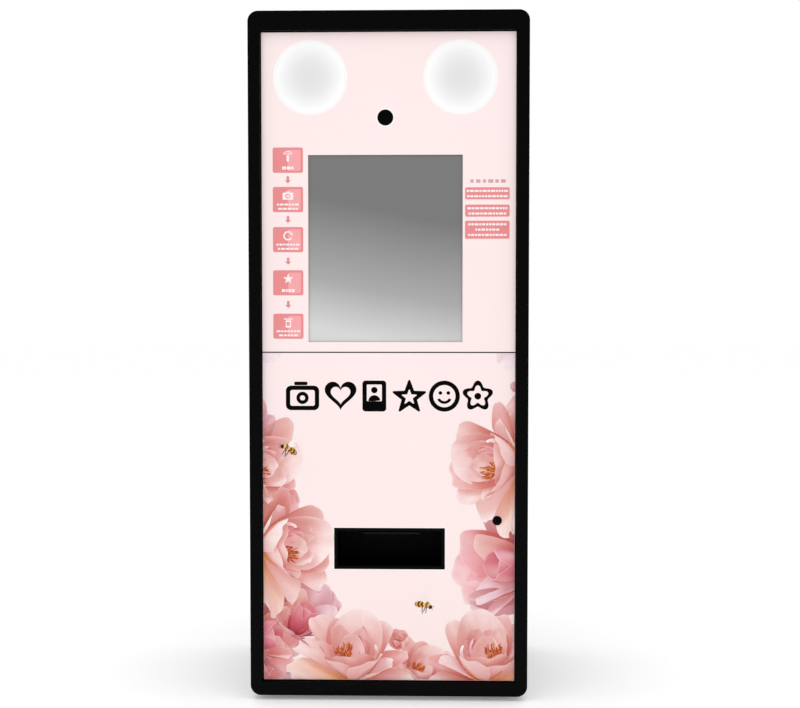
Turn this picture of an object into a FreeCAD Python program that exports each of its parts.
import FreeCAD, Part

# A free-standing photo booth: a tall black sheet-steel cabinet with a printed face.
# The upper face is a fixed panel that holds two round lamps, a camera window and an upright touch screen.
# The lower face is a door with a print outlet and a cam lock. A photo printer stands on a shelf behind it.
# At the back, a service door carries a fan and a second lock, and a fixed panel carries the mains inlet.
# The cabinet stands on four screw feet, with two tilt-and-roll wheels just clear of the floor behind them.
#
# Axes: +X is to the right as seen from in front, +Y is to the back, and +Z is up, in millimetres.
# The origin is on the floor, under the middle of the cabinet's outer box.

import math
import os
import re

import Sketcher

OUT_DIR = "parts"
VOLUME_STEP = 1.0  # cubic millimetres that a pocket has to take away at least

doc = FreeCAD.newDocument("PhotoBooth")
sheet = doc.addObject("Spreadsheet::Sheet", "Dims")
finished = []  # the objects that are written out, one file each

# ---------------------------------------------------------------------------------------------------------
# Driving dimensions
# ---------------------------------------------------------------------------------------------------------

DIMENSIONS = [
    ("cabinet_width", 700, "outside width of the front frame"),
    ("cabinet_depth", 520, "front frame's face to the rear hinges"),
    ("cabinet_height", 1730, "floor to the top of the front frame"),
    ("ground_gap", 12, "floor to the front frame's lower edge"),
    ("frame_side", 30, "face of the front frame beside the panels"),
    ("frame_top", 49, "face of the front frame above the panels"),
    ("frame_bottom", 35, "face of the front frame below the door"),
    ("frame_depth", 40, "front frame, front to back"),
    ("frame_corner", 26, "outer corner radius of the front frame"),
    ("frame_wall", 2, "wall of the front frame's channel section"),
    ("frame_edge", 1.2, "rounding of the front frame's face edges"),
    ("recess", 12, "printed face behind the front frame's face"),
    ("reveal", 2.5, "gap between the printed face and the frame"),
    ("seam_height", 882, "middle of the gap between panel and door"),
    ("seam_gap", 3, "gap between the upper panel and the door"),
    ("metal", 2, "sheet steel of the casing"),
    ("panel_sheet", 3, "upper panel's thickness"),
    ("lap_gap", 0.5, "clearance where one sheet slides into another"),
    ("shell_front", 20, "casing tucked into the front frame's channel"),
    ("shell_return", 45, "side panels folded inwards at top and bottom"),
    ("rear_step", 15, "rear hinges beyond the casing's rear edge"),
    ("post", 25, "square tube of the uprights and rails"),
    ("post_wall", 2, "wall of that tube"),
    ("front_post_y", -217, "front face of the front uprights"),
    ("rear_post_y", 230, "rear face of the rear uprights"),
    ("post_top", 1703, "top of the uprights"),
    ("pan_height", 66, "underside of the base pan"),
    ("pan_sheet", 3, "base pan's thickness"),
    ("anchor_x", 300, "floor anchor holes, apart across"),
    ("anchor_y", 240, "floor anchor holes, apart front to back"),
    ("anchor_radius", 7, "floor anchor hole"),
    ("head_x", -8, "screen, camera and lamps, left of the middle"),
    ("screen_width", 386, "window for the touch screen"),
    ("screen_height", 467, "window for the touch screen"),
    ("screen_z", 1141.5, "middle of the screen window"),
    ("glass_lap", 7, "touch glass hidden behind the panel all round"),
    ("glass_thick", 3, "touch glass"),
    ("module_lap", 12, "display case beyond the window all round"),
    ("module_depth", 26, "display case behind the glass"),
    ("module_back", 9, "raised middle of the display case"),
    ("camera_z", 1467.5, "middle of the camera window"),
    ("camera_hole", 20, "radius of the camera window"),
    ("camera_glass", 24, "radius of the camera window's glass"),
    ("lamp_apart", 375, "between the lamps' middles"),
    ("lamp_z", 1567, "middle of the lamps"),
    ("lamp_radius", 86, "visible radius of a lamp"),
    ("lamp_crown", 4, "how far a lamp's cover bulges"),
    ("lamp_wall", 2.5, "wall of a lamp's cover"),
    ("lamp_case", 92, "radius of a lamp's case"),
    ("lamp_depth", 50, "depth of a lamp's case"),
    ("outlet_x", 2, "middle of the print outlet"),
    ("outlet_width", 280, "cut-out for the print outlet"),
    ("outlet_height", 105, "cut-out for the print outlet"),
    ("outlet_z", 385.5, "middle of the print outlet"),
    ("outlet_rim", 8, "face of the outlet's black surround"),
    ("tray_back", -140, "rear face of the print tray"),
    ("slot_width", 156, "paper slot"),
    ("slot_height", 20, "paper slot in the tray's rear wall"),
    ("slot_z", 410, "middle of the paper slot"),
    ("door_depth", 18, "door pan, front to back"),
    ("hinge_inset", 16, "front hinge axis from the door's edge"),
    ("hinge_depth", 7, "front hinge axis behind the door's face"),
    ("hinge_low", 170, "lower front hinge"),
    ("hinge_high", 780, "upper front hinge"),
    ("hinge_arm", 15, "half height of a fixed hinge knuckle"),
    ("hinge_tall", 30, "half height of a whole front hinge"),
    ("pin_radius", 2.5, "front hinge pin"),
    ("knuckle", 4.5, "radius of a front hinge knuckle"),
    ("running", 0.05, "radial clearance of a running fit"),
    ("lock_x", 273.5, "door lock from the middle"),
    ("lock_z", 458, "door lock"),
    ("lock_face", 11.8, "radius of a lock's face"),
    ("lock_body", 9.5, "radius of a lock's barrel"),
    ("lock_core", 6, "radius of a lock's plug"),
    ("cam_length", 38, "lock cam from its axis to its tip"),
    ("cam_width", 14, "lock cam"),
    ("cam_thick", 2.5, "lock cam"),
    ("shelf_low", 283, "top of the printer shelf"),
    ("shelf_high", 620, "top of the equipment shelf"),
    ("shelf_lip", 20, "folded lip of a shelf"),
    ("printer_front", -132, "front of the printer"),
    ("printer_length", 330, "printer, front to back"),
    ("printer_width", 275, "printer, across"),
    ("printer_height", 170, "printer's cover"),
    ("printer_feet", 6, "height of the printer's feet"),
    ("printer_wall", 3, "printer cover's wall"),
    ("roll_y", 115, "paper roll's axis"),
    ("roll_z", 362, "paper roll's axis"),
    ("roll_radius", 50, "full paper roll"),
    ("platen_y", 0, "platen roller's axis"),
    ("platen_z", 402, "platen roller's axis"),
    ("platen_radius", 8, "platen roller"),
    ("journal", 4, "radius of the rollers' shafts"),
    ("foot_x", 270, "feet, from the middle"),
    ("foot_front", -195, "front feet"),
    ("foot_rear", 165, "rear feet"),
    ("foot_radius", 22, "foot pad"),
    ("foot_pad", 8, "foot pad's rim"),
    ("stem", 6, "radius of a foot's threaded stem"),
    ("stem_top", 100, "top of a foot's stem"),
    ("nut_size", 11, "corner radius of a foot's nuts"),
    ("nut_thick", 8, "foot's nuts"),
    ("wheel_x", 275, "wheels, from the middle"),
    ("wheel_y", 222, "wheel axle"),
    ("wheel_z", 31, "wheel axle"),
    ("wheel_radius", 27, "transport wheel"),
    ("wheel_width", 22, "transport wheel"),
    ("axle", 5, "radius of a wheel's axle"),
    ("rear_open", 300, "half width of the rear openings"),
    ("rear_split", 551, "between the rear panel and the service door"),
    ("rear_top", 1700, "top of the service door"),
    ("rear_foot", 75, "bottom of the rear panel"),
    ("rear_cover", 325, "half width of the rear panel and door"),
    ("rear_hinge_x", -331, "service door's hinge axis"),
    ("rear_knuckle", 6, "radius of a rear hinge knuckle"),
    ("rear_pin", 3, "rear hinge pin"),
    ("rear_lock_x", 280, "service door's lock"),
    ("rear_lock_z", 1127, "service door's lock"),
    ("fan_z", 1560, "fan's axis"),
    ("fan_size", 120, "fan's square frame"),
    ("fan_depth", 25, "fan's frame"),
    ("fan_bore", 57, "radius of the fan's opening"),
    ("fan_hub", 20, "radius of the fan's hub"),
    ("fan_tip", 54, "radius over the fan's blades"),
    ("fan_shaft", 2.5, "radius of the fan's shaft"),
    ("fan_screws", 105, "between the fan's screws"),
    ("inlet_x", 240, "middle of the inlet and switch unit"),
    ("inlet_z", 134, "middle of the inlet and switch unit"),
    ("screw", 2, "radius of the casing screws"),
    ("screw_head", 4, "radius of their heads"),
    ("lens_y", -232, "front of the camera's lens"),
    ("tilt_y", -178, "camera's tilt axis"),
    ("tilt_z", 1427, "camera's tilt axis"),
]

for number, (alias, size, note) in enumerate(DIMENSIONS, start=1):
    sheet.set(f"A{number}", note)
    sheet.set(f"B{number}", str(size))
    sheet.setAlias(f"B{number}", alias)
doc.recompute()

ALIASES = {alias for alias, _size, _note in DIMENSIONS}

# Places that many sub-parts share, as expressions on the sheet.
FRONT = "(-cabinet_depth / 2)"
FRAME_BACK = f"({FRONT} + frame_depth)"
FACE = f"({FRONT} + recess)"
PANEL_BACK = f"({FACE} + panel_sheet)"
DOOR_SKIN_BACK = f"({FACE} + metal)"
DOOR_BACK = f"({FACE} + door_depth)"
OPEN_X = "(cabinet_width / 2 - frame_side)"
OPEN_LOW = "(ground_gap + frame_bottom)"
OPEN_TOP = "(cabinet_height - frame_top)"
SHELL_X = "(cabinet_width / 2 - frame_wall - lap_gap)"
SHELL_IN = f"({SHELL_X} - metal)"
SHELL_LOW = "(ground_gap + frame_wall + lap_gap)"
SHELL_TOP = "(cabinet_height - frame_wall - lap_gap)"
SHELL_FRONT = f"({FRAME_BACK} - shell_front)"
REAR = "(cabinet_depth / 2 - rear_step)"
SHELL_ROUND = "(frame_corner - frame_wall - lap_gap)"
POST_X = f"({SHELL_IN} - lap_gap)"
POST_IN = f"({POST_X} - post)"
PAN_TOP = "(pan_height + pan_sheet)"
DOOR_LEFT = f"(-{OPEN_X} + reveal)"
DOOR_TOP = "(seam_height - seam_gap / 2)"
DOOR_LOW = f"({OPEN_LOW} + reveal)"
PANEL_LOW = "(seam_height + seam_gap / 2)"
PANEL_TOP = f"({OPEN_TOP} - reveal)"
HINGE_X = f"({DOOR_LEFT} + hinge_inset)"
HINGE_Y = f"({FACE} + hinge_depth)"
GLASS_BACK = f"({PANEL_BACK} + glass_thick)"
MODULE_BACK = f"({GLASS_BACK} + module_depth + module_back)"
REAR_SKIN = f"({REAR} + 1)"
REAR_FACE = f"({REAR_SKIN} + metal)"
REAR_HINGE_Y = "(cabinet_depth / 2 - rear_knuckle)"
PRINTER_LOW = "(shelf_low + printer_feet)"


def on_sheet(text):
    """The expression with each alias pointing at its cell."""
    return re.sub(r"[a-z_]+", lambda m: f"Dims.{m[0]}" if m[0] in ALIASES else m[0], str(text))


def value(text):
    """What an expression comes to, in millimetres."""
    return float(sheet.evalExpression(on_sheet(text)))


def around(middle, size):
    """The two limits of a stretch of that size about its middle."""
    return f"({middle}) - ({size}) / 2", f"({middle}) + ({size}) / 2"


def after(start, size):
    """The two limits of a stretch that begins at start."""
    return f"({start})", f"({start}) + ({size})"


def mirrored(limits):
    """The same stretch on the other side of zero."""
    low, high = limits
    return f"-({high})", f"-({low})"


# ---------------------------------------------------------------------------------------------------------
# Part primitives and booleans
# ---------------------------------------------------------------------------------------------------------


def box(name, x, y, z):
    """A block between two limits on each axis."""
    item = doc.addObject("Part::Box", name)
    for size, place, (low, high) in (("Length", "x", x), ("Width", "y", y), ("Height", "z", z)):
        item.setExpression(size, on_sheet(f"({high}) - ({low})"))
        item.setExpression(f"Placement.Base.{place}", on_sheet(low))
    return item


TURNS = {
    "x": FreeCAD.Rotation(FreeCAD.Vector(0, 1, 0), 90),
    "y": FreeCAD.Rotation(FreeCAD.Vector(1, 0, 0), -90),
    "z": FreeCAD.Rotation(),
}


def place_along(item, axis, centre, start):
    """Turns a primitive's own Z to the axis, with its base at start and its middle at centre."""
    item.Placement = FreeCAD.Placement(FreeCAD.Vector(), TURNS[axis])
    others = [name for name in "xyz" if name != axis]
    for name, place in [(axis, start), *zip(others, centre)]:
        item.setExpression(f"Placement.Base.{name}", on_sheet(place))


def rod(name, axis, centre, span, radius):
    """A cylinder along an axis, between two limits on it."""
    item = doc.addObject("Part::Cylinder", name)
    low, high = span
    item.setExpression("Radius", on_sheet(radius))
    item.setExpression("Height", on_sheet(f"({high}) - ({low})"))
    place_along(item, axis, centre, low)
    return item


def cone(name, axis, centre, span, first, second):
    """A cone from radius first at the lower limit to radius second at the upper one."""
    item = doc.addObject("Part::Cone", name)
    low, high = span
    item.setExpression("Radius1", on_sheet(first))
    item.setExpression("Radius2", on_sheet(second))
    item.setExpression("Height", on_sheet(f"({high}) - ({low})"))
    place_along(item, axis, centre, low)
    return item


def hexagon(name, axis, centre, span, corner):
    """A six-sided prism, such as a nut's blank."""
    item = doc.addObject("Part::Prism", name)
    low, high = span
    item.Polygon = 6
    item.setExpression("Circumradius", on_sheet(corner))
    item.setExpression("Height", on_sheet(f"({high}) - ({low})"))
    place_along(item, axis, centre, low)
    return item


def ball(name, centre, radius):
    item = doc.addObject("Part::Sphere", name)
    item.setExpression("Radius", on_sheet(radius))
    for axis, place in zip("xyz", centre):
        item.setExpression(f"Placement.Base.{axis}", on_sheet(place))
    return item


def fuse(name, *items):
    item = doc.addObject("Part::MultiFuse", name)
    item.Shapes = list(items)
    return item


def cut(name, base, *tools):
    """base with each tool taken away."""
    item = doc.addObject("Part::Cut", name)
    item.Base = base
    item.Tool = tools[0] if len(tools) == 1 else group(name + "_tools", *tools)
    return item


def common(name, *items):
    item = doc.addObject("Part::MultiCommon", name)
    item.Shapes = list(items)
    return item


def group(name, *items):
    """Separate solids in one object."""
    item = doc.addObject("Part::Compound", name)
    item.Links = list(items)
    return item


def ring(name, axis, centre, span, outer, inner):
    """A tube with a bore right through."""
    low, high = span
    beyond = (f"({low}) - 1", f"({high}) + 1")
    blank = rod(name + "_blank", axis, centre, span, outer)
    return cut(name, blank, rod(name + "_bore", axis, centre, beyond, inner))


def done(item):
    """Marks an object as a finished sub-part."""
    finished.append(item)
    return item


# ---------------------------------------------------------------------------------------------------------
# PartDesign bodies with sketches
# ---------------------------------------------------------------------------------------------------------


def new_body(label):
    return doc.addObject("PartDesign::Body", label)


def new_sketch(body, name, plane, offset):
    """A sketch on one of the body's origin planes, moved along the plane's normal.

    XZ_Plane's normal is -Y, so there an offset of -y puts the sketch at y."""
    sketch = body.newObject("Sketcher::SketchObject", f"{body.Label}_{name}")
    support = next(item for item in body.Origin.OriginFeatures if item.Role == plane)
    sketch.AttachmentSupport = [(support, "")]
    sketch.MapMode = "FlatFace"
    sketch.setExpression("AttachmentOffset.Base.z", on_sheet(offset))
    return sketch


def pin_down(sketch, kind, geometry, point, text):
    """A distance from the sketch's origin to a point, bound to the sheet."""
    index = sketch.addConstraint(Sketcher.Constraint(kind, -1, 1, geometry, point, value(text)))
    name = f"{'u' if kind == 'DistanceX' else 'v'}{index}"
    sketch.renameConstraint(index, name)
    sketch.setExpression(f"Constraints.{name}", on_sheet(text))


def outline(sketch, u, v):
    """A rectangle between two limits each way."""
    left, right, low, high = (value(text) for text in (*u, *v))
    corners = [(left, low), (right, low), (right, high), (left, high)]
    first = sketch.GeometryCount
    for start, end in zip(corners, corners[1:] + corners[:1]):
        sketch.addGeometry(Part.LineSegment(FreeCAD.Vector(*start, 0), FreeCAD.Vector(*end, 0)), False)
    for side in range(4):
        sketch.addConstraint(Sketcher.Constraint("Coincident", first + side, 2, first + (side + 1) % 4, 1))
        sketch.addConstraint(Sketcher.Constraint("Vertical" if side % 2 else "Horizontal", first + side))
    pin_down(sketch, "DistanceX", first, 1, u[0])
    pin_down(sketch, "DistanceX", first + 1, 1, u[1])
    pin_down(sketch, "DistanceY", first, 1, v[0])
    pin_down(sketch, "DistanceY", first + 2, 1, v[1])


def rounded_outline(sketch, u, v, radius):
    """A rectangle between two limits each way, with equal round corners."""
    left, right, low, high = (value(text) for text in (*u, *v))
    bend = value(radius)
    sides = [
        ((left + bend, low), (right - bend, low)),
        ((right, low + bend), (right, high - bend)),
        ((right - bend, high), (left + bend, high)),
        ((left, high - bend), (left, low + bend)),
    ]
    centres = [
        (right - bend, low + bend),
        (right - bend, high - bend),
        (left + bend, high - bend),
        (left + bend, low + bend),
    ]
    first = sketch.GeometryCount
    for start, end in sides:
        sketch.addGeometry(Part.LineSegment(FreeCAD.Vector(*start, 0), FreeCAD.Vector(*end, 0)), False)
    for quarter, centre in enumerate(centres):
        circle = Part.Circle(FreeCAD.Vector(*centre, 0), FreeCAD.Vector(0, 0, 1), bend)
        begin = (quarter - 1) * math.pi / 2
        sketch.addGeometry(Part.ArcOfCircle(circle, begin, begin + math.pi / 2), False)
    for side in range(4):
        line, arc, following = first + side, first + 4 + side, first + (side + 1) % 4
        sketch.addConstraint(Sketcher.Constraint("Tangent", line, 2, arc, 1))
        sketch.addConstraint(Sketcher.Constraint("Tangent", arc, 2, following, 1))
        sketch.addConstraint(Sketcher.Constraint("Vertical" if side % 2 else "Horizontal", line))
        if side:
            sketch.addConstraint(Sketcher.Constraint("Equal", first + 4, arc))
    index = sketch.addConstraint(Sketcher.Constraint("Radius", first + 4, bend))
    sketch.renameConstraint(index, f"bend{index}")
    sketch.setExpression(f"Constraints.bend{index}", on_sheet(radius))
    pin_down(sketch, "DistanceX", first + 3, 1, u[0])
    pin_down(sketch, "DistanceX", first + 1, 1, u[1])
    pin_down(sketch, "DistanceY", first, 1, v[0])
    pin_down(sketch, "DistanceY", first + 2, 1, v[1])


def hole(sketch, u, v, radius):
    """A circle about a point."""
    centre = FreeCAD.Vector(value(u), value(v), 0)
    circle = sketch.addGeometry(Part.Circle(centre, FreeCAD.Vector(0, 0, 1), value(radius)), False)
    pin_down(sketch, "DistanceX", circle, 3, u)
    pin_down(sketch, "DistanceY", circle, 3, v)
    index = sketch.addConstraint(Sketcher.Constraint("Radius", circle, value(radius)))
    sketch.renameConstraint(index, f"size{index}")
    sketch.setExpression(f"Constraints.size{index}", on_sheet(radius))


def pad(body, sketch, length):
    feature = body.newObject("PartDesign::Pad", sketch.Name + "_pad")
    feature.Profile = sketch
    feature.setExpression("Length", on_sheet(length))
    doc.recompute()
    return feature


def pocket(body, sketch, depth, along_normal=False):
    """Cuts against the sketch plane's normal, or along it. It has to take material away."""
    before = body.Shape.Volume
    feature = body.newObject("PartDesign::Pocket", sketch.Name + "_pocket")
    feature.Profile = sketch
    feature.Reversed = along_normal
    feature.setExpression("Length", on_sheet(depth))
    doc.recompute()
    if body.Shape.Volume > before - VOLUME_STEP:
        raise RuntimeError(f"{feature.Name} cuts nothing")
    return feature


def round_edges(body, base, radius, chosen):
    """Rounds the edges of base that chosen picks by their bounding boxes."""
    names = [f"Edge{n}" for n, edge in enumerate(base.Shape.Edges, start=1) if chosen(edge.BoundBox)]
    feature = body.newObject("PartDesign::Fillet", base.Name + "_round")
    feature.Base = (base, names)
    feature.setExpression("Radius", on_sheet(radius))
    doc.recompute()
    return feature


def near(a, b):
    return abs(a - b) < 0.01


def runs_along_y(bounds):
    return bounds.XLength < 0.01 and bounds.ZLength < 0.01


# ---------------------------------------------------------------------------------------------------------
# Casing
# ---------------------------------------------------------------------------------------------------------


def front_frame():
    """A channel-section ring round the printed face, open at the back."""
    body = new_body("front_frame")
    face = new_sketch(body, "face", "XZ_Plane", f"-{FRAME_BACK}")
    outside = around("0", "cabinet_width")
    rounded_outline(face, outside, ("ground_gap", "cabinet_height"), "frame_corner")
    outline(face, around("0", f"2 * {OPEN_X}"), (OPEN_LOW, OPEN_TOP))
    pad(body, face, "frame_depth")
    channel = new_sketch(body, "channel", "XZ_Plane", f"-{FRAME_BACK}")
    rounded_outline(
        channel,
        around("0", "cabinet_width - 2 * frame_wall"),
        ("ground_gap + frame_wall", "cabinet_height - frame_wall"),
        "frame_corner - frame_wall",
    )
    outline(
        channel,
        around("0", f"2 * ({OPEN_X} + frame_wall)"),
        (f"{OPEN_LOW} - frame_wall", f"{OPEN_TOP} + frame_wall"),
    )
    hollow = pocket(body, channel, "frame_depth - frame_wall", along_normal=True)
    front = value(FRONT)
    round_edges(body, hollow, "frame_edge", lambda b: near(b.YMin, front) and near(b.YMax, front))
    done(body)


TOP_SCREW_Y = ("-180", "-60", "60", "180")
TOP_SCREW_X = f"({SHELL_X} - shell_return + 9)"


def side_panel(label, side):
    """One side of the casing, folded round into the top and the bottom."""
    body = new_body(label)
    profile = new_sketch(body, "profile", "XZ_Plane", f"-{REAR}")
    rounded_outline(profile, (f"-{SHELL_X}", SHELL_X), (SHELL_LOW, SHELL_TOP), SHELL_ROUND)
    rounded_outline(
        profile,
        (f"-{SHELL_IN}", SHELL_IN),
        (f"{SHELL_LOW} + metal", f"{SHELL_TOP} - metal"),
        f"{SHELL_ROUND} - metal",
    )
    pad(body, profile, f"{REAR} - {SHELL_FRONT}")
    rest = new_sketch(body, "rest", "XZ_Plane", f"-{REAR}")
    stretch = ("-cabinet_width", f"{SHELL_X} - shell_return")
    outline(rest, stretch if side > 0 else mirrored(stretch), ("0", "cabinet_height"))
    pocket(body, rest, f"{REAR} - {SHELL_FRONT}", along_normal=True)
    holes = new_sketch(body, "holes", "XY_Plane", SHELL_TOP)
    for y in TOP_SCREW_Y:
        hole(holes, f"{side} * {TOP_SCREW_X}", y, "screw + running")
    pocket(body, holes, "2 * metal")
    done(body)


def top_panel():
    """A flat sheet that laps under both side panels."""
    body = new_body("top_panel")
    plan = new_sketch(body, "plan", "XY_Plane", f"{SHELL_TOP} - 2 * metal")
    reach = f"{SHELL_X} - {SHELL_ROUND} - 2"
    outline(plan, (f"-({reach})", reach), (f"{SHELL_FRONT} + 4", f"{REAR} - 4"))
    for side in (-1, 1):
        for y in TOP_SCREW_Y:
            hole(plan, f"{side} * {TOP_SCREW_X}", y, "screw + running")
    pad(body, plan, "metal")
    done(body)


FEET = {
    "foot_front_left": ("-foot_x", "foot_front"),
    "foot_front_right": ("foot_x", "foot_front"),
    "foot_rear_left": ("-foot_x", "foot_rear"),
    "foot_rear_right": ("foot_x", "foot_rear"),
}


def base_pan():
    """The floor of the cabinet, with holes for the feet and for floor anchors."""
    body = new_body("base_pan")
    plan = new_sketch(body, "plan", "XY_Plane", "pan_height")
    outline(plan, (f"-{POST_X}", POST_X), ("front_post_y", f"{REAR} - metal"))
    for x, y in FEET.values():
        hole(plan, x, y, "stem + 0.5")
    for x in ("-anchor_x / 2", "anchor_x / 2"):
        for y in ("-anchor_y / 2", "anchor_y / 2"):
            hole(plan, x, y, "anchor_radius")
    pad(body, plan, "pan_sheet")
    done(body)


REAR_SCREWS = [(side, z) for side in (-1, 1) for z in ("95", "312", "530")]
REAR_SCREW_X = "(rear_open + 12)"


def rear_frame():
    """The flat border that stiffens the casing's rear edge and carries the rear panel and door."""
    body = new_body("rear_frame")
    face = new_sketch(body, "face", "XZ_Plane", f"-{REAR}")
    border = "(rear_cover - rear_open)"
    outline(face, (f"-{POST_X}", POST_X), (f"{PAN_TOP} + 1", f"{SHELL_TOP} - 2 * metal - 1"))
    outline(face, ("-rear_open", "rear_open"), (f"rear_foot + {border}", f"rear_split - {border}"))
    outline(face, ("-rear_open", "rear_open"), (f"rear_split + {border}", f"rear_top - {border}"))
    for side, z in REAR_SCREWS:
        hole(face, f"{side} * {REAR_SCREW_X}", z, "screw + running")
    blank = pad(body, face, "metal")
    high = blank.Shape.BoundBox.ZMax
    round_edges(body, blank, SHELL_ROUND, lambda b: runs_along_y(b) and near(b.ZMin, high))
    done(body)


LOUVRES = 9
LOUVRE_PITCH = 14


def louvres(sketch, x, low):
    """A stack of narrow air slots."""
    for row in range(LOUVRES):
        z = f"{low} + {row * LOUVRE_PITCH}"
        outline(sketch, around(x, "170"), (z, f"{z} + 6"))


def rear_lower_panel():
    """The fixed panel below the service door, with air slots and the inlet's cut-out."""
    body = new_body("rear_lower_panel")
    face = new_sketch(body, "face", "XZ_Plane", f"-({REAR} + metal)")
    outline(face, ("-rear_cover", "rear_cover"), ("rear_foot", "rear_split - 3"))
    outline(face, around("inlet_x", "66.5"), around("inlet_z", "26.5"))
    louvres(face, "-150", "360")
    louvres(face, "150", "360")
    for side, z in REAR_SCREWS:
        hole(face, f"{side} * {REAR_SCREW_X}", z, "screw + running")
    pad(body, face, "metal")
    done(body)


def panel_screws():
    """Pan-head screws of the rear panel and the top."""
    items = []
    for number, (side, z) in enumerate(REAR_SCREWS):
        at = (f"{side} * {REAR_SCREW_X}", z)
        seat = f"({REAR} + metal)"
        shank = rod(f"rear_shank_{number}", "y", at, (f"{seat} - 8", seat), "screw")
        head = cone(f"rear_head_{number}", "y", at, after(seat, "2.2"), "screw_head", "screw_head - 1")
        items.append(fuse(f"rear_screw_{number}", shank, head))
    spots = [(side, y) for side in (-1, 1) for y in TOP_SCREW_Y]
    for number, (side, y) in enumerate(spots):
        at = (f"{side} * {TOP_SCREW_X}", y)
        shank = rod(f"top_shank_{number}", "z", at, (f"{SHELL_TOP} - 9", SHELL_TOP), "screw")
        head = cone(f"top_head_{number}", "z", at, after(SHELL_TOP, "2.2"), "screw_head", "screw_head - 1")
        items.append(fuse(f"top_screw_{number}", shank, head))
    done(group("panel_screws", *items))


# ---------------------------------------------------------------------------------------------------------
# Inner frame, rails and shelves
# ---------------------------------------------------------------------------------------------------------


def tube(name, x, y, z, axis):
    """A square tube with open ends."""
    limits = {"x": x, "y": y, "z": z}
    inner = {}
    for key, (low, high) in limits.items():
        wall = "-1" if key == axis else "post_wall"
        inner[key] = (f"({low}) + ({wall})", f"({high}) - ({wall})")
    return cut(name, box(name + "_blank", x, y, z), box(name + "_bore", **inner))


def corner_posts():
    posts = []
    columns = {"left": (f"-{POST_X}", f"-{POST_IN}"), "right": (POST_IN, POST_X)}
    rows = {"front": after("front_post_y", "post"), "rear": ("rear_post_y - post", "rear_post_y")}
    for side, column in columns.items():
        for end, row in rows.items():
            posts.append(tube(f"post_{end}_{side}", column, row, (PAN_TOP, "post_top"), "z"))
    done(group("corner_posts", *posts))


def mounting_rails():
    """Cross rails for the seam, the camera and the display, and the brackets that hold the upper panel."""
    across = (f"-{POST_IN}", POST_IN)
    seam_z = around("seam_height - 8", "post")
    camera_z = ("tilt_z - 32", "tilt_z - 12")
    rails = [
        tube("seam_rail", across, after("front_post_y", "post"), seam_z, "x"),
        tube("camera_rail", across, after("front_post_y + 12", "20"), camera_z, "x"),
    ]
    for name, z in (("low", "screen_z - 140"), ("high", "screen_z + 140")):
        rails.append(box(f"display_bar_{name}", across, after(MODULE_BACK, "3"), around(z, "30")))
    upright = (f"{PANEL_LOW} + 16", f"{PANEL_TOP} - 16")
    for name, side in (("left", -1), ("right", 1)):
        legs = {
            "pad": ((f"{POST_IN} - 28", f"{POST_IN} - 4"), after(PANEL_BACK, "metal")),
            "web": ((f"{POST_IN} - 28", f"{POST_IN} - 26"), (PANEL_BACK, "front_post_y - 0.5")),
            "tab": ((f"{POST_IN} - 28", f"{POST_X} - 2"), ("front_post_y - 2.5", "front_post_y - 0.5")),
        }
        plates = [
            box(f"panel_{part}_{name}", x if side > 0 else mirrored(x), y, upright)
            for part, (x, y) in legs.items()
        ]
        rails.append(fuse(f"panel_bracket_{name}", *plates))
    done(group("mounting_rails", *rails))


def shelves():
    """Two folded shelves between the front and rear uprights."""
    made = []
    depth = ("front_post_y + post", "rear_post_y - post")
    for name, top in (("printer", "shelf_low"), ("equipment", "shelf_high")):
        width = (f"-{POST_X} + 1", f"{POST_X} - 1")
        plate = box(f"{name}_plate", width, depth, (f"{top} - metal", top))
        lip = (f"{top} - shelf_lip", top)
        front = box(f"{name}_front_lip", width, after(depth[0], "metal"), lip)
        rear = box(f"{name}_rear_lip", width, (f"{depth[1]} - metal", depth[1]), lip)
        made.append(fuse(f"{name}_shelf", plate, front, rear))
    done(group("shelves", *made))


# ---------------------------------------------------------------------------------------------------------
# Upper face: panel, lamps, screen and camera
# ---------------------------------------------------------------------------------------------------------

LAMPS = {"left": "(head_x - lamp_apart / 2)", "right": "(head_x + lamp_apart / 2)"}
WINDOW_X = around("head_x", "screen_width")
WINDOW_Z = around("screen_z", "screen_height")


def upper_panel():
    """The fixed printed sheet with its lamp holes, camera hole and screen window."""
    body = new_body("upper_panel")
    face = new_sketch(body, "face", "XZ_Plane", f"-{PANEL_BACK}")
    outline(face, (DOOR_LEFT, f"-{DOOR_LEFT}"), (PANEL_LOW, PANEL_TOP))
    outline(face, WINDOW_X, WINDOW_Z)
    hole(face, "head_x", "camera_z", "camera_hole")
    for x in LAMPS.values():
        hole(face, x, "lamp_z", "lamp_radius + 0.2")
    pad(body, face, "panel_sheet")
    done(body)


def lamp_housings():
    cans = []
    for side, x in LAMPS.items():
        at = (x, "lamp_z")
        can = rod(f"lamp_can_{side}", "y", at, after(PANEL_BACK, "lamp_depth"), "lamp_case")
        inside = rod(
            f"lamp_inside_{side}", "y", at, (f"{PANEL_BACK} - 1", f"{PANEL_BACK} + lamp_depth - metal"),
            "lamp_case - metal",
        )
        cans.append(cut(f"lamp_housing_{side}", can, inside))
    done(group("lamp_housings", *cans))


def led_boards():
    boards = []
    for side, x in LAMPS.items():
        start = f"{PANEL_BACK} + lamp_depth - metal - 5"
        board = rod(f"led_disc_{side}", "y", (x, "lamp_z"), after(start, "1.6"), "lamp_case - metal - 4")
        back = rod(f"led_stand_{side}", "y", (x, "lamp_z"), after(f"({start}) + 1.6", "3.4"), "20")
        boards.append(fuse(f"led_board_{side}", board, back))
    done(group("led_boards", *boards))


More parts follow.
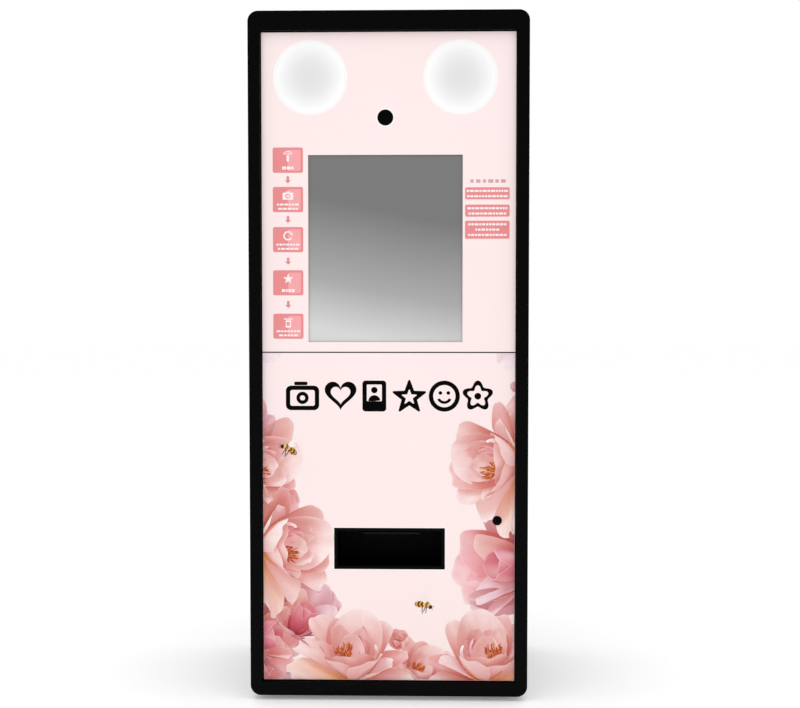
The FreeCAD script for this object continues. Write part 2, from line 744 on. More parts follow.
def lamp_diffusers():
    """Shallow domed covers that push through the panel from behind and stop on a flange."""
    covers = []
    dome = "((lamp_radius * lamp_radius + lamp_crown * lamp_crown) / (2 * lamp_crown))"
    for side, x in LAMPS.items():
        at = (x, "lamp_z")
        centre = (x, f"{FACE} - lamp_crown + {dome}", "lamp_z")
        plug_y = (f"{FACE} - lamp_crown - 1", PANEL_BACK)
        plug = rod(f"cover_plug_{side}", "y", at, plug_y, "lamp_radius")
        crown = common(f"cover_crown_{side}", plug, ball(f"cover_dome_{side}", centre, dome))
        flange = rod(f"cover_flange_{side}", "y", at, after(PANEL_BACK, "metal"), "lamp_case - metal - 0.5")
        well_y = (f"{FACE} - lamp_crown", f"{PANEL_BACK} + 3")
        well = rod(f"cover_well_{side}", "y", at, well_y, "lamp_radius - lamp_wall")
        core = ball(f"cover_core_{side}", centre, f"{dome} - lamp_wall")
        hollow = common(f"cover_hollow_{side}", well, core)
        covers.append(cut(f"lamp_cover_{side}", fuse(f"cover_solid_{side}", crown, flange), hollow))
    done(group("lamp_diffusers", *covers))


def display():
    """The touch glass behind the window, and the display case behind the glass."""
    glass_x = around("head_x", "screen_width + 2 * glass_lap")
    glass_z = around("screen_z", "screen_height + 2 * glass_lap")
    done(box("display_glass", glass_x, after(PANEL_BACK, "glass_thick"), glass_z))
    case = box(
        "display_case",
        around("head_x", "screen_width + 2 * module_lap"),
        after(GLASS_BACK, "module_depth"),
        around("screen_z", "screen_height + 2 * module_lap"),
    )
    raised = box(
        "display_raised",
        around("head_x", "screen_width - 80"),
        after(GLASS_BACK, "module_depth + module_back"),
        around("screen_z", "screen_height - 90"),
    )
    done(fuse("display_module", case, raised))


CAMERA_CASE = ("104", "36", "60")


def camera():
    """A compact camera on a tilting cradle, behind a round glass."""
    at = ("head_x", "camera_z")
    done(rod("camera_window", "y", at, after(PANEL_BACK, "metal"), "camera_glass"))
    rail_top = "(tilt_z - 12)"
    base_y = ("tilt_y - 25", "tilt_y + 18")
    solids = [box("yoke_base", around("head_x", "83"), base_y, after(rail_top, "metal"))]
    for name, side in (("left", -1), ("right", 1)):
        cheek = ("head_x + 38.5", "head_x + 41.5") if side > 0 else ("head_x - 41.5", "head_x - 38.5")
        pin = ("head_x + 34", "head_x + 39") if side > 0 else ("head_x - 39", "head_x - 34")
        solids.append(box(f"yoke_cheek_{name}", cheek, around("tilt_y", "16"), (rail_top, "tilt_z + 7")))
        solids.append(rod(f"yoke_pin_{name}", "x", ("tilt_y", "tilt_z"), pin, "3"))
    done(fuse("camera_yoke", *solids))

    plate = box("cradle_plate", around("head_x", "76"), around("tilt_y", "44"), after("tilt_z + 9", "3"))
    ears = []
    for name, side in (("left", -1), ("right", 1)):
        reach = ("head_x + 35", "head_x + 38") if side > 0 else ("head_x - 38", "head_x - 35")
        ears.append(rod(f"cradle_ear_{name}", "x", ("tilt_y", "tilt_z"), reach, "8"))
        ears.append(box(f"cradle_side_{name}", reach, around("tilt_y", "16"), ("tilt_z", "tilt_z + 10")))
    blank = fuse("cradle_blank", plate, *ears)
    bore = rod("cradle_bore", "x", ("tilt_y", "tilt_z"), around("head_x", "90"), "3 + running")
    done(cut("camera_cradle", blank, bore))

    width, depth, height = CAMERA_CASE
    body = new_body("camera_body")
    plan = new_sketch(body, "plan", "XY_Plane", "tilt_z + 12")
    rounded_outline(plan, around("head_x", width), after("tilt_y - 18", depth), "8")
    case = pad(body, plan, height)
    top = case.Shape.BoundBox.ZMax
    round_edges(body, case, "3", lambda b: near(b.ZMin, top) and near(b.ZMax, top))
    done(body)

    mount = "tilt_y - 18"
    tail = rod("lens_mount", "y", at, (f"{mount} - 12", mount), "18")
    core = rod("lens_core", "y", at, (f"{mount} - 26", f"{mount} - 12"), "15.5")
    nose = rod("lens_nose", "y", at, ("lens_y", f"{mount} - 26"), "17.5")
    well = cone("lens_well", "y", at, ("lens_y - 0.01", "lens_y + 6"), "15", "11")
    done(cut("camera_lens", fuse("lens_blank", tail, core, nose), well))
    grip = (f"{mount} - 25.8", f"{mount} - 12.2")
    done(ring("focus_ring", "y", at, grip, "19.5", "15.5 + running"))


# ---------------------------------------------------------------------------------------------------------
# Front door: skin, outlet, hinges and lock
# ---------------------------------------------------------------------------------------------------------


def door_skin():
    """A shallow pan, open at the back, notched at its hinges."""
    body = new_body("door_skin")
    face = new_sketch(body, "face", "XZ_Plane", f"-{DOOR_BACK}")
    outline(face, (DOOR_LEFT, f"-{DOOR_LEFT}"), (DOOR_LOW, DOOR_TOP))
    pad(body, face, "door_depth")
    inside = new_sketch(body, "inside", "XZ_Plane", f"-{DOOR_BACK}")
    inside_x = (f"{DOOR_LEFT} + metal", f"-{DOOR_LEFT} - metal")
    outline(inside, inside_x, (f"{DOOR_LOW} + metal", f"{DOOR_TOP} - metal"))
    pocket(body, inside, "door_depth - metal", along_normal=True)
    cutouts = new_sketch(body, "cutouts", "XZ_Plane", f"-{FACE}")
    outline(cutouts, around("outlet_x", "outlet_width"), around("outlet_z", "outlet_height"))
    hole(cutouts, "lock_x", "lock_z", "lock_body + 0.2")
    pocket(body, cutouts, "2 * metal")
    notches = new_sketch(body, "notches", "XZ_Plane", f"-{DOOR_BACK}")
    for z in ("hinge_low", "hinge_high"):
        outline(notches, (f"{DOOR_LEFT} - 1", f"{DOOR_LEFT} + metal + 1"), around(z, "2 * hinge_tall + 10"))
    pocket(body, notches, "door_depth - metal", along_normal=True)
    done(body)


def print_outlet():
    """The black surround in the door, and the tray behind it that catches the prints."""
    outer_x = around("outlet_x", "outlet_width - 1")
    outer_z = around("outlet_z", "outlet_height - 1")
    inner_x = around("outlet_x", "outlet_width - 2 * outlet_rim")
    inner_z = around("outlet_z", "outlet_height - 2 * outlet_rim")
    sleeve = box("outlet_sleeve", outer_x, (f"{FACE} - 0.8", f"{FACE} + 10"), outer_z)
    flange = box(
        "outlet_flange",
        around("outlet_x", "outlet_width + 20"),
        after(DOOR_SKIN_BACK, "metal"),
        around("outlet_z", "outlet_height + 20"),
    )
    mouth = box("outlet_mouth", inner_x, (f"{FACE} - 2", f"{FACE} + 12"), inner_z)
    done(cut("outlet_frame", fuse("outlet_blank", sleeve, flange), mouth))

    wall = "metal"
    shell = box(
        "tray_shell",
        around("outlet_x", f"outlet_width - 2 * outlet_rim + 2 * {wall}"),
        (f"{FACE} + 10", "tray_back"),
        around("outlet_z", f"outlet_height - 2 * outlet_rim + 2 * {wall}"),
    )
    room = box("tray_room", inner_x, (f"{FACE} + 9", f"tray_back - {wall}"), inner_z)
    slot_y = ("tray_back - 5", "tray_back + 1")
    slot = box("tray_slot", around("outlet_x", "slot_width"), slot_y, around("slot_z", "slot_height"))
    done(cut("print_tray", shell, room, slot))


def front_hinges():
    """Concealed hinges: gooseneck arms on the left upright, knuckles behind the door's skin."""
    fixed, moving, pins = [], [], []
    axis = (HINGE_X, HINGE_Y)
    for name, z in (("low", "hinge_low"), ("high", "hinge_high")):
        middle = around(z, "2 * hinge_arm")
        plate = box(
            f"arm_plate_{name}",
            (f"-{POST_X} + 2", f"{HINGE_X} + 2.5"),
            ("front_post_y - 2.5", "front_post_y"),
            around(z, "2 * hinge_tall - 10"),
        )
        web_x = (f"{HINGE_X} - 1.5", f"{HINGE_X} + 2.5")
        web = box(f"arm_web_{name}", web_x, (HINGE_Y, "front_post_y"), middle)
        knuckle = rod(f"arm_knuckle_{name}", "z", axis, middle, "knuckle")
        bore = rod(f"arm_bore_{name}", "z", axis, around(z, "2 * hinge_tall"), "pin_radius + 0.02")
        fixed.append(cut(f"hinge_arm_{name}", fuse(f"arm_blank_{name}", plate, web, knuckle), bore))
        leaf_y = after(DOOR_SKIN_BACK, "2.5")
        join_x = (f"{HINGE_X} + 8", f"{HINGE_X} + 30")
        solids = [box(f"leaf_join_{name}", join_x, leaf_y, around(z, "2 * hinge_tall"))]
        ends = {
            "under": (f"{z} - hinge_tall", f"{z} - hinge_arm - 1"),
            "over": (f"{z} + hinge_arm + 1", f"{z} + hinge_tall"),
        }
        for end, span in ends.items():
            solids.append(rod(f"leaf_knuckle_{name}_{end}", "z", axis, span, "knuckle"))
            solids.append(box(f"leaf_tab_{name}_{end}", (HINGE_X, f"{HINGE_X} + 9"), leaf_y, span))
        beyond = around(z, "2 * hinge_tall + 2")
        hollow = rod(f"leaf_bore_{name}", "z", axis, beyond, "pin_radius + running")
        moving.append(cut(f"hinge_leaf_{name}", fuse(f"leaf_blank_{name}", *solids), hollow))
        shaft = rod(f"pin_shaft_{name}", "z", axis, around(z, "2 * hinge_tall + 1"), "pin_radius")
        head = rod(f"pin_head_{name}", "z", axis, after(f"{z} + hinge_tall + 0.5", "2"), "pin_radius + 1.2")
        pins.append(fuse(f"hinge_pin_{name}", shaft, head))
    done(group("door_hinge_leaves", *moving))
    return fixed, pins


LOCK_TAIL = "24"  # door's face to the lock cam


def front_lock():
    """A cam lock: barrel and nut in the door, plug and cam that turn, and a strike on the right upright."""
    at = ("lock_x", "lock_z")
    face = rod("barrel_face", "y", at, (f"{FACE} - 1.5", FACE), "lock_face")
    stem = rod("barrel_stem", "y", at, (FACE, f"{FACE} + {LOCK_TAIL} - 0.5"), "lock_body")
    bore = rod("barrel_bore", "y", at, (f"{FACE} - 3", f"{FACE} + 40"), "lock_core + running")
    barrel = cut("lock_barrel_body", fuse("barrel_blank", face, stem), bore)
    nut_blank = hexagon("lock_nut_blank", "y", at, after(DOOR_SKIN_BACK, "5"), "lock_body + 5")
    nut_bore = rod("lock_nut_bore", "y", at, after(f"{FACE}", "20"), "lock_body + running")
    done(group("lock_barrel", barrel, cut("lock_nut", nut_blank, nut_bore)))

    core = rod("plug_core", "y", at, (f"{FACE} - 2.2", f"{FACE} + {LOCK_TAIL}"), "lock_core")
    done(cut("lock_plug", core, keyway("plug_keyway", at, (f"{FACE} - 3", f"{FACE} + 8"))))
    done(cam("lock_cam", "lock_x", "lock_z", after(f"{FACE} + {LOCK_TAIL}", "cam_thick")))

    strike_z = around("lock_z", "56")
    plate = box("strike_plate", (f"{POST_IN} - 20", POST_IN), after(f"{FACE} + 20", "2"), strike_z)
    foot = box("strike_foot", (f"{POST_IN} - 2", POST_IN), (f"{FACE} + 20", "front_post_y + 22"), strike_z)
    done(fuse("lock_strike", plate, foot))


def keyway(name, centre, y):
    """The slot for a key."""
    x, z = centre
    return box(name, around(x, "1.4"), y, around(z, "7"))


def cam(name, x, z, thick):
    """A lock's tongue, which hangs down while it is unlocked."""
    boss = rod(f"{name}_boss", "y", (x, z), thick, "cam_width / 2 + 1")
    tip = rod(f"{name}_tip", "y", (x, f"{z} - cam_length + cam_width / 2"), thick, "cam_width / 2")
    blade = box(f"{name}_blade", around(x, "cam_width"), thick, (f"{z} - cam_length + cam_width / 2", z))
    return fuse(name, boss, tip, blade)


# ---------------------------------------------------------------------------------------------------------
# Rear door: skin, hinges, lock and fan
# ---------------------------------------------------------------------------------------------------------

FAN_CORNERS = ((-1, -1), (-1, 1), (1, -1), (1, 1))
FAN_HOLES = [(f"{dx} * fan_screws / 2", f"fan_z + {dz} * fan_screws / 2") for dx, dz in FAN_CORNERS]


def rear_door_skin():
    body = new_body("rear_door_skin")
    face = new_sketch(body, "face", "XZ_Plane", f"-{REAR_FACE}")
    outline(face, ("-rear_cover", "rear_cover"), ("rear_split + 3", "rear_top"))
    hole(face, "0", "fan_z", "fan_bore")
    for x, z in FAN_HOLES:
        hole(face, x, z, "screw + running")
    hole(face, "rear_lock_x", "rear_lock_z", "lock_body + 0.2")
    louvres(face, "-150", "640")
    louvres(face, "150", "640")
    pad(body, face, "metal")
    done(body)


def rear_hinges():
    """Three butt hinges outside the service door's left edge."""
    fixed, moving, pins = [], [], []
    axis = ("rear_hinge_x", REAR_HINGE_Y)
    for name, z in (("rear_low", "680"), ("rear_mid", "1127"), ("rear_high", "1575")):
        middle = around(z, "24")
        leaf_x = (f"-{POST_X} + 1", "rear_hinge_x + 2")
        leaf = box(f"leaf_{name}", leaf_x, after(REAR, "2"), around(z, "60"))
        rib = box(f"rib_{name}", around("rear_hinge_x", "4"), (REAR, REAR_HINGE_Y), middle)
        knuckle = rod(f"knuckle_{name}", "z", axis, middle, "rear_knuckle")
        bore = rod(f"bore_{name}", "z", axis, around(z, "62"), "rear_pin + 0.02")
        fixed.append(cut(f"hinge_fixed_{name}", fuse(f"fixed_blank_{name}", leaf, rib, knuckle), bore))
        swing_y = after(REAR_FACE, "2")
        plate_x = ("rear_hinge_x + 7", "rear_hinge_x + 34")
        solids = [box(f"swing_plate_{name}", plate_x, swing_y, around(z, "60"))]
        for end, span in (("under", (f"{z} - 30", f"{z} - 13")), ("over", (f"{z} + 13", f"{z} + 30"))):
            solids.append(rod(f"swing_knuckle_{name}_{end}", "z", axis, span, "rear_knuckle"))
            tab_x = ("rear_hinge_x", "rear_hinge_x + 8")
            solids.append(box(f"swing_tab_{name}_{end}", tab_x, swing_y, span))
        hollow = rod(f"swing_bore_{name}", "z", axis, around(z, "62"), "rear_pin + running")
        moving.append(cut(f"swing_leaf_{name}", fuse(f"swing_blank_{name}", *solids), hollow))
        pins.append(rod(f"hinge_pin_{name}", "z", axis, around(z, "62"), "rear_pin"))
    done(group("rear_hinge_leaves", *moving))
    return fixed, pins


def rear_lock():
    """The service door's cam lock."""
    at = ("rear_lock_x", "rear_lock_z")
    face = rod("rear_barrel_face", "y", at, after(REAR_FACE, "1.5"), "lock_face")
    stem = rod("rear_barrel_stem", "y", at, (f"{REAR} - 6", REAR_FACE), "lock_body")
    bore = rod("rear_barrel_bore", "y", at, (f"{REAR} - 20", f"{REAR_FACE} + 3"), "lock_core + running")
    done(cut("rear_lock_barrel", fuse("rear_barrel_blank", face, stem), bore))
    core = rod("rear_plug_core", "y", at, (f"{REAR} - 7", f"{REAR_FACE} + 2.2"), "lock_core")
    plug = cut("rear_plug", core, keyway("rear_plug_keyway", at, (f"{REAR_FACE} - 6", f"{REAR_FACE} + 3")))
    tongue = cam("rear_tongue", "rear_lock_x", "rear_lock_z", (f"{REAR} - 7 - cam_thick", f"{REAR} - 7"))
    done(fuse("rear_lock_plug", plug, tongue))


BLADES = 7
BLADE_PITCH = 38  # degrees from the fan's axis
BLADE_THICK = 1.6


def fan():
    """An axial fan inside the service door, with a wire guard outside and four screws through both."""
    back = REAR_SKIN
    start = f"({back} - fan_depth)"
    at = ("0", "fan_z")
    square = box("fan_square", around("0", "fan_size"), (start, back), around("fan_z", "fan_size"))
    bore = rod("fan_tunnel", "y", at, (f"{start} - 1", f"{back} + 1"), "fan_bore")
    holes = [
        rod(f"fan_hole_{n}", "y", corner, (f"{start} - 1", f"{back} + 1"), "screw + running")
        for n, corner in enumerate(FAN_HOLES)
    ]
    shell = cut("fan_shell", square, bore, *holes)
    strut_y = after(start, "3")
    reach = "2 * fan_bore + 2"
    spider = [
        rod("fan_motor_plate", "y", at, strut_y, "fan_hub"),
        box("fan_strut_across", around("0", reach), strut_y, around("fan_z", "7")),
        box("fan_strut_up", around("0", "7"), strut_y, around("fan_z", reach)),
        rod("fan_shaft_pin", "y", at, after(start, "18"), "fan_shaft"),
    ]
    done(fuse("fan_frame", shell, *spider))

    hub_span = (f"{start} + 4", f"{back} - 2")
    solids = [rod("rotor_hub", "y", at, hub_span, "fan_hub")]
    middle = value(f"({start} + {back}) / 2 + 1")
    height = value("fan_z")
    chord = value("fan_depth - 5")
    pitch = FreeCAD.Rotation(FreeCAD.Vector(1, 0, 0), BLADE_PITCH)
    root = FreeCAD.Placement(FreeCAD.Vector(value("fan_hub - 3"), 0, 0), pitch)
    centred = FreeCAD.Placement(FreeCAD.Vector(0, -chord / 2, -BLADE_THICK / 2), FreeCAD.Rotation())
    for number in range(BLADES):
        blade = doc.addObject("Part::Box", f"rotor_blade_{number}")
        blade.setExpression("Length", on_sheet("fan_tip - fan_hub + 3"))
        blade.setExpression("Width", on_sheet("fan_depth - 5"))
        blade.Height = BLADE_THICK
        turn = FreeCAD.Rotation(FreeCAD.Vector(0, 1, 0), 360 * number / BLADES)
        blade.Placement = FreeCAD.Placement(FreeCAD.Vector(0, middle, height), turn) * root * centred
        solids.append(blade)
    bore = rod("rotor_bore", "y", at, (start, f"{back} - 6"), "fan_shaft + running")
    done(cut("fan_rotor", fuse("rotor_blank", *solids), bore))

    wires = []
    for number, radius in enumerate(("14", "26", "38", "50")):
        wire = doc.addObject("Part::Torus", f"guard_ring_{number}")
        wire.setExpression("Radius1", radius)
        wire.Radius2 = 1.2
        place_along(wire, "y", at, f"{REAR_FACE} + 3.6")
        wires.append(wire)
    wires.append(rod("guard_boss", "y", at, after(REAR_FACE, "3.2"), "10"))
    for number, corner in enumerate(FAN_HOLES):
        reach = FreeCAD.Vector(value(corner[0]), 0, value(corner[1]) - height)
        outward = FreeCAD.Vector(reach).normalize()
        inner = 6
        arm = doc.addObject("Part::Cylinder", f"guard_arm_{number}")
        arm.Radius = 1.4
        arm.Height = reach.Length - inner
        start_point = FreeCAD.Vector(0, value(f"{REAR_FACE} + 1.6"), height) + outward * inner
        arm.Placement = FreeCAD.Placement(start_point, FreeCAD.Rotation(FreeCAD.Vector(0, 0, 1), reach))
        wires.append(arm)
        wires.append(rod(f"guard_lug_{number}", "y", corner, after(REAR_FACE, "3.2"), "4.5"))
        screw_y = (f"{back} - fan_depth - 3", f"{REAR_FACE} + 1")
        wires.append(rod(f"guard_screw_{number}", "y", corner, screw_y, "screw"))
    done(fuse("fan_guard", *wires))


# ---------------------------------------------------------------------------------------------------------
# Photo printer
# ---------------------------------------------------------------------------------------------------------


def printer():
    """A roll-fed photo printer: steel chassis, plastic cover, roll, platen and print engine."""
    cover_x = around("outlet_x", "printer_width")
    cover_y = after("printer_front", "printer_length")
    cover_z = after(PRINTER_LOW, "printer_height")
    wall = "printer_wall"
    outside = box("cover_outside", cover_x, cover_y, cover_z)
    inside = box(
        "cover_inside",
        around("outlet_x", f"printer_width - 2 * {wall}"),
        (f"printer_front + {wall}", f"printer_front + printer_length - {wall}"),
        (f"{PRINTER_LOW} - 1", f"{PRINTER_LOW} + printer_height - {wall}"),
    )
    slot_y = ("printer_front - 1", "printer_front + 5")
    exit_slot = box("cover_slot", around("outlet_x", "slot_width + 4"), slot_y, around("slot_z", "12"))
    done(cut("printer_cover", outside, inside, exit_slot))

    span = f"(printer_width - 2 * {wall} - 2)"
    depth = ("printer_front + 8", "printer_front + printer_length - 8")
    floor = box("chassis_floor", around("outlet_x", span), depth, after(PRINTER_LOW, "metal"))
    plates = [floor]
    plate_z = after(PRINTER_LOW, "155")
    for name, edge in (("left", f"outlet_x - {span} / 2"), ("right", f"outlet_x + {span} / 2 - metal")):
        plates.append(box(f"chassis_{name}", after(edge, "metal"), depth, plate_z))
    roll_axis, platen_axis = ("roll_y", "roll_z"), ("platen_y", "platen_z")
    bores = [
        rod(f"chassis_bore_{name}", "x", axis, around("outlet_x", "printer_width"), "journal + running")
        for name, axis in (("roll", roll_axis), ("platen", platen_axis))
    ]
    frame = cut("chassis_frame", fuse("chassis_blank", *plates), *bores)
    feet = [
        rod(f"printer_foot_{n}", "z", (f"outlet_x + {dx}", y), ("shelf_low", PRINTER_LOW), "10")
        for n, (dx, y) in enumerate([(dx, y) for dx in (-110, 110) for y in ("-100", "160")])
    ]
    done(group("printer_chassis", frame, *feet))

    shaft = around("outlet_x", span)
    paper = around("outlet_x", "slot_width")
    roll = rod("roll_paper", "x", roll_axis, paper, "roll_radius")
    hubs = rod("roll_hubs", "x", roll_axis, around("outlet_x", "slot_width + 12"), "16")
    axle = rod("roll_axle", "x", roll_axis, shaft, "journal")
    done(fuse("paper_roll", roll, hubs, axle))
    rubber = rod("platen_rubber", "x", platen_axis, around("outlet_x", "slot_width + 6"), "platen_radius")
    spindle = rod("platen_spindle", "x", platen_axis, shaft, "journal")
    done(fuse("platen_roller", rubber, spindle))

    wide = around("outlet_x", "slot_width + 20")
    head_z = ("platen_z + platen_radius + 0.4", "platen_z + 38")
    head = box("thermal_head", wide, around("platen_y", "30"), head_z)
    cassette_y = ("platen_y + 18", "platen_y + 60")
    cassette = box("ribbon_cassette", wide, cassette_y, ("platen_z + 12", "platen_z + 48"))
    cutter = box("cutter_block", wide, ("-112", "-88"), around("slot_z", "36"))
    gap = box("cutter_gap", around("outlet_x", "slot_width + 4"), ("-113", "-87"), around("slot_z", "6"))
    done(group("print_engine", head, cassette, cut("cutter_unit", cutter, gap)))


# ---------------------------------------------------------------------------------------------------------
# Electrics
# ---------------------------------------------------------------------------------------------------------


def small_case(label, x, y, low, height, bend):
    """A box with round upright corners and softened top edges."""
    body = new_body(label)
    plan = new_sketch(body, "plan", "XY_Plane", low)
    rounded_outline(plan, x, y, bend)
    case = pad(body, plan, height)
    top = case.Shape.BoundBox.ZMax
    round_edges(body, case, "2", lambda b: near(b.ZMin, top) and near(b.ZMax, top))
    done(body)


def electrics():
    small_case("mini_pc", ("60", "250"), ("0", "190"), "shelf_high", "48", "10")
    small_case("led_driver", ("-260", "-110"), ("-60", "-5"), "shelf_high", "32", "3")
    small_case("power_strip", ("-150", "150"), ("150", "195"), PAN_TOP, "38", "6")


SOCKET = {"x": "(inlet_x - 17)", "width": "24", "height": "16"}
ROCKER = {"x": "(inlet_x + 16)", "width": "21", "height": "16"}
INLET_BACK = f"({REAR} - 23)"


def power_inlet():
    """A mains inlet with three blades, and the rocker switch beside it."""
    face = f"({REAR} + metal)"
    flange = box("inlet_flange", around("inlet_x", "74"), after(face, "2"), around("inlet_z", "34"))
    block_y = (INLET_BACK, f"{face} + 1")
    block = box("inlet_block", around("inlet_x", "66"), block_y, around("inlet_z", "26"))
    well = box(
        "inlet_well",
        around(SOCKET["x"], SOCKET["width"]),
        (f"{face} - 18", f"{face} + 3"),
        around("inlet_z", SOCKET["height"]),
    )
    nest = box(
        "rocker_nest",
        around(ROCKER["x"], ROCKER["width"]),
        (f"{face} - 10", f"{face} + 3"),
        around("inlet_z", ROCKER["height"]),
    )
    trunnion = rod(
        "rocker_seat", "x", (f"{face} - 3", "inlet_z"), around(ROCKER["x"], "24.4"), "1.5 + running"
    )
    hollow = cut("inlet_hollow", fuse("inlet_solid", flange, block), well, nest, trunnion)
    blades = [
        box(
            f"inlet_blade_{n}",
            around(f"{SOCKET['x']} + {dx}", "2"),
            (f"{face} - 19", f"{face} - 7"),
            around(f"inlet_z + {dz}", "5"),
        )
        for n, (dx, dz) in enumerate([(-7, -2), (0, 3), (7, -2)])
    ]
    done(fuse("power_inlet", hollow, *blades))

    rocker = doc.addObject("Part::Box", "rocker_block")
    rocker.Length, rocker.Width, rocker.Height = 20, 9, 14
    pivot = FreeCAD.Vector(value(ROCKER["x"]), value(f"{face} - 3"), value("inlet_z"))
    tilt = FreeCAD.Rotation(FreeCAD.Vector(1, 0, 0), ROCKER_TILT)
    shift = FreeCAD.Placement(FreeCAD.Vector(-10, -4.5, -7), FreeCAD.Rotation())
    rocker.Placement = FreeCAD.Placement(pivot, tilt) * shift
    stubs = rod("rocker_stubs", "x", (f"{face} - 3", "inlet_z"), around(ROCKER["x"], "24"), "1.5")
    done(fuse("switch_rocker", rocker, stubs))


ROCKER_TILT = 7  # degrees that the switch leans when it is on


def bent_run(points, radius):
    """A wire along straight runs, with an arc at each corner as large as its two runs allow."""
    corners = [FreeCAD.Vector(*p) for p in points]
    edges = []
    start = corners[0]
    for before, corner, following in zip(corners, corners[1:], corners[2:]):
        back, ahead = (before - corner), (following - corner)
        shorter = min(back.Length, ahead.Length)
        back.normalize()
        ahead.normalize()
        half = (math.pi - back.getAngle(ahead)) / 2
        reach = min(0.45 * shorter, radius * math.tan(half))
        bend = reach / math.tan(half)
        enter, leave = corner + back * reach, corner + ahead * reach
        towards = (back + ahead).normalize()
        centre = corner + towards * (bend / math.cos(half))
        edges.append(Part.LineSegment(start, enter).toShape())
        edges.append(Part.Arc(enter, centre - towards * bend, leave).toShape())
        start = leave
    edges.append(Part.LineSegment(start, corners[-1]).toShape())
    return Part.Wire(edges)


def cable(name, points, diameter, bend):
    """A round cable clipped along its route. Its volume has to be its section times its length."""
    path = bent_run(points, bend)
    first = path.Edges[0]
    ahead = first.tangentAt(first.FirstParameter)
    section = Part.Wire(Part.makeCircle(diameter / 2, FreeCAD.Vector(*points[0]), ahead))
    solid = path.makePipeShell([section], True, True)
    wanted = math.pi * diameter**2 / 4 * path.Length
    if abs(solid.Volume - wanted) > 0.02 * wanted:
        raise RuntimeError(f"{name} has the wrong volume")
    item = doc.addObject("Part::Feature", name)
    item.Shape = solid
    return item


def internal_cables():
    """Leads that are clipped to the frame: mains, both lamps and the display."""
    lamp_z = value("lamp_z")
    lamp_back = value(f"{PANEL_BACK} + lamp_depth")
    drop = lamp_back + 35
    left, right = (value(x) for x in LAMPS.values())
    driver_x, driver_y, driver_z = -150, -60, value("shelf_high") + 16
    screen_x, screen_z = 100, value("screen_z") - 200
    screen_back = value(f"{GLASS_BACK} + module_depth")
    computer_z = value("shelf_high") + 26
    inlet_x, inlet_z = value(SOCKET["x"]), value("inlet_z")
    strip_x, strip_y, strip_z = 150, 172, value(PAN_TOP) + 19
    routes = {
        "mains_lead": [
            (inlet_x, value(INLET_BACK), inlet_z),
            (inlet_x, strip_y, inlet_z),
            (inlet_x, strip_y, strip_z),
            (strip_x, strip_y, strip_z),
        ],
        "left_lamp_lead": [
            (left, lamp_back, lamp_z),
            (left, drop, lamp_z),
            (left, drop, driver_z),
            (left, driver_y, driver_z),
        ],
        "right_lamp_lead": [
            (right, lamp_back, lamp_z),
            (right, drop, lamp_z),
            (driver_x, drop, lamp_z),
            (driver_x, drop, driver_z),
            (driver_x, driver_y, driver_z),
        ],
        "screen_lead": [
            (screen_x, screen_back, screen_z),
            (screen_x, drop, screen_z),
            (screen_x, drop, computer_z),
            (screen_x, 0, computer_z),
        ],
    }
    leads = [cable(name, route, LEAD_SIZE[name], CABLE_BEND) for name, route in routes.items()]
    done(group("internal_cables", *leads))


LEAD_SIZE = {"mains_lead": 8, "left_lamp_lead": 5, "right_lamp_lead": 5, "screen_lead": 6}
CABLE_BEND = 30


# ---------------------------------------------------------------------------------------------------------
# Feet and wheels
# ---------------------------------------------------------------------------------------------------------


NUT_SPANS = {"under": ("(pan_height - nut_thick)", "pan_height"), "over": after(PAN_TOP, "nut_thick")}


def feet():
    """Screw feet, each held by a nut above the pan and a nut below it."""
    nuts = []
    for label, at in FEET.items():
        pad_disc = rod(f"{label}_pad", "z", at, ("0", "foot_pad"), "foot_radius")
        neck = cone(f"{label}_neck", "z", at, after("foot_pad", "8"), "foot_radius - 5", "stem + 3")
        stem = rod(f"{label}_stem", "z", at, ("foot_pad", "stem_top"), "stem")
        done(fuse(label, pad_disc, neck, stem))
        for end, (low, high) in NUT_SPANS.items():
            blank = hexagon(f"{label}_nut_{end}_blank", "z", at, (low, high), "nut_size")
            bore = rod(f"{label}_nut_{end}_bore", "z", at, (f"{low} - 1", f"{high} + 1"), "stem + running")
            nuts.append(cut(f"{label}_nut_{end}", blank, bore))
    done(group("foot_nuts", *nuts))


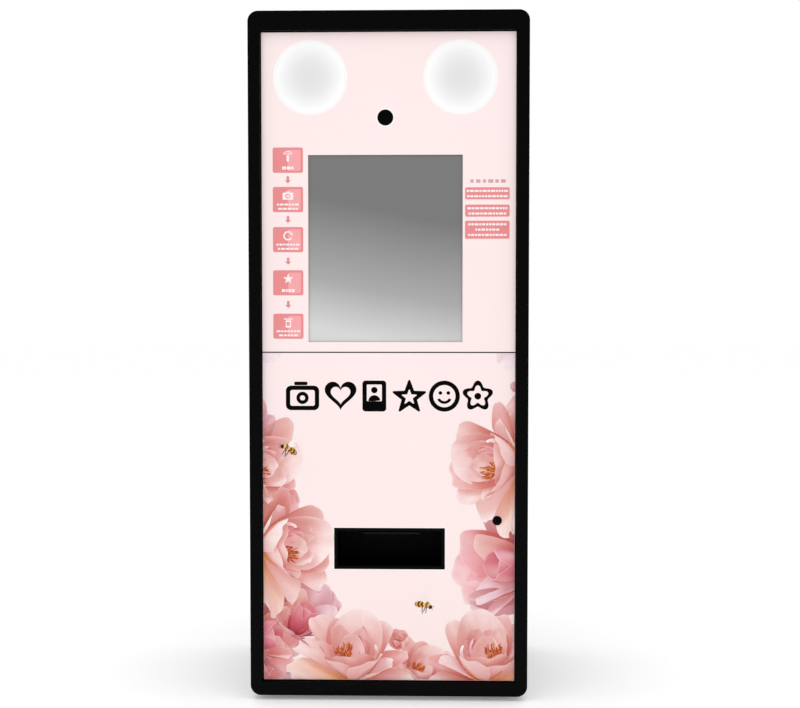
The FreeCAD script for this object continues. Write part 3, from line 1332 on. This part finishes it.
def wheels():
    """Tilt-and-roll wheels under the rear edge, in riveted forks."""
    forks = []
    for side, sign in (("left", "-1"), ("right", "1")):
        middle = f"{sign} * wheel_x"
        at = ("wheel_y", "wheel_z")
        tread = rod(f"tread_{side}", "x", at, around(middle, "wheel_width"), "wheel_radius")
        groove_span = around(middle, "wheel_width + 2")
        bore = rod(f"wheel_bore_{side}", "x", at, groove_span, "axle + running")
        sinks = [
            ring(f"wheel_sink_{side}_{end}", "x", at, span, "wheel_radius - 6", "axle + 5")
            for end, span in (
                ("inner", (f"{middle} - wheel_width / 2 - 1", f"{middle} - wheel_width / 2 + 3")),
                ("outer", (f"{middle} + wheel_width / 2 - 3", f"{middle} + wheel_width / 2 + 1")),
            )
        ]
        done(cut(f"wheel_{side}", tread, bore, *sinks))
        top_y = ("wheel_y - 24", "wheel_y + 18")
        plates = [box(f"fork_top_{side}", around(middle, "31"), top_y, ("pan_height - 3", "pan_height"))]
        for end, edge in (("inner", f"{middle} - 15.5"), ("outer", f"{middle} + 12.5")):
            leg = after(edge, "3")
            leg_y = around("wheel_y", "26")
            plates.append(box(f"fork_{end}_{side}", leg, leg_y, ("wheel_z", "pan_height")))
            plates.append(rod(f"fork_eye_{end}_{side}", "x", at, leg, "13"))
        eye = rod(f"fork_bore_{side}", "x", at, around(middle, "40"), "axle + running")
        forks.append(cut(f"wheel_fork_{side}", fuse(f"fork_blank_{side}", *plates), eye))
        axle = rod(f"axle_{side}", "x", at, around(middle, "35"), "axle")
        ends = {"inner": f"{middle} - 18", "outer": f"{middle} + 16"}
        caps = [
            rod(f"axle_cap_{end}_{side}", "x", at, after(edge, "2"), "axle + 2.5")
            for end, edge in ends.items()
        ]
        forks.append(fuse(f"wheel_axle_{side}", axle, *caps))
    done(group("wheel_brackets", *forks))


# ---------------------------------------------------------------------------------------------------------
# The whole booth
# ---------------------------------------------------------------------------------------------------------


def build():
    front_frame()
    side_panel("left_side_panel", -1)
    side_panel("right_side_panel", 1)
    top_panel()
    base_pan()
    rear_frame()
    rear_lower_panel()
    panel_screws()
    corner_posts()
    mounting_rails()
    shelves()
    upper_panel()
    lamp_housings()
    led_boards()
    lamp_diffusers()
    display()
    camera()
    door_skin()
    print_outlet()
    front_fixed, front_pins = front_hinges()
    front_lock()
    rear_door_skin()
    rear_fixed, rear_pins = rear_hinges()
    done(group("hinge_arms", *front_fixed, *rear_fixed))
    done(group("hinge_pins", *front_pins, *rear_pins))
    rear_lock()
    fan()
    printer()
    electrics()
    power_inlet()
    internal_cables()
    feet()
    wheels()
    doc.recompute()


def check_and_write():
    """Stops at any object that failed, then writes one STEP file for each sub-part."""
    for item in doc.Objects:
        if any(state in ("Invalid", "Error") for state in item.State):
            raise RuntimeError(f"{item.Label} failed: {item.State}")
    os.makedirs(OUT_DIR, exist_ok=True)
    for item in finished:
        shape = item.Shape
        if shape.isNull() or not shape.isValid() or not shape.Solids:
            raise RuntimeError(f"{item.Label} has no valid solid")
        shape.exportStep(os.path.join(OUT_DIR, item.Label + ".step"))
        print(f"{item.Label}: {len(shape.Solids)} solids, {shape.Volume / 1000:.1f} cm3")
    print(f"{len(finished)} sub-parts")


build()
check_and_write()
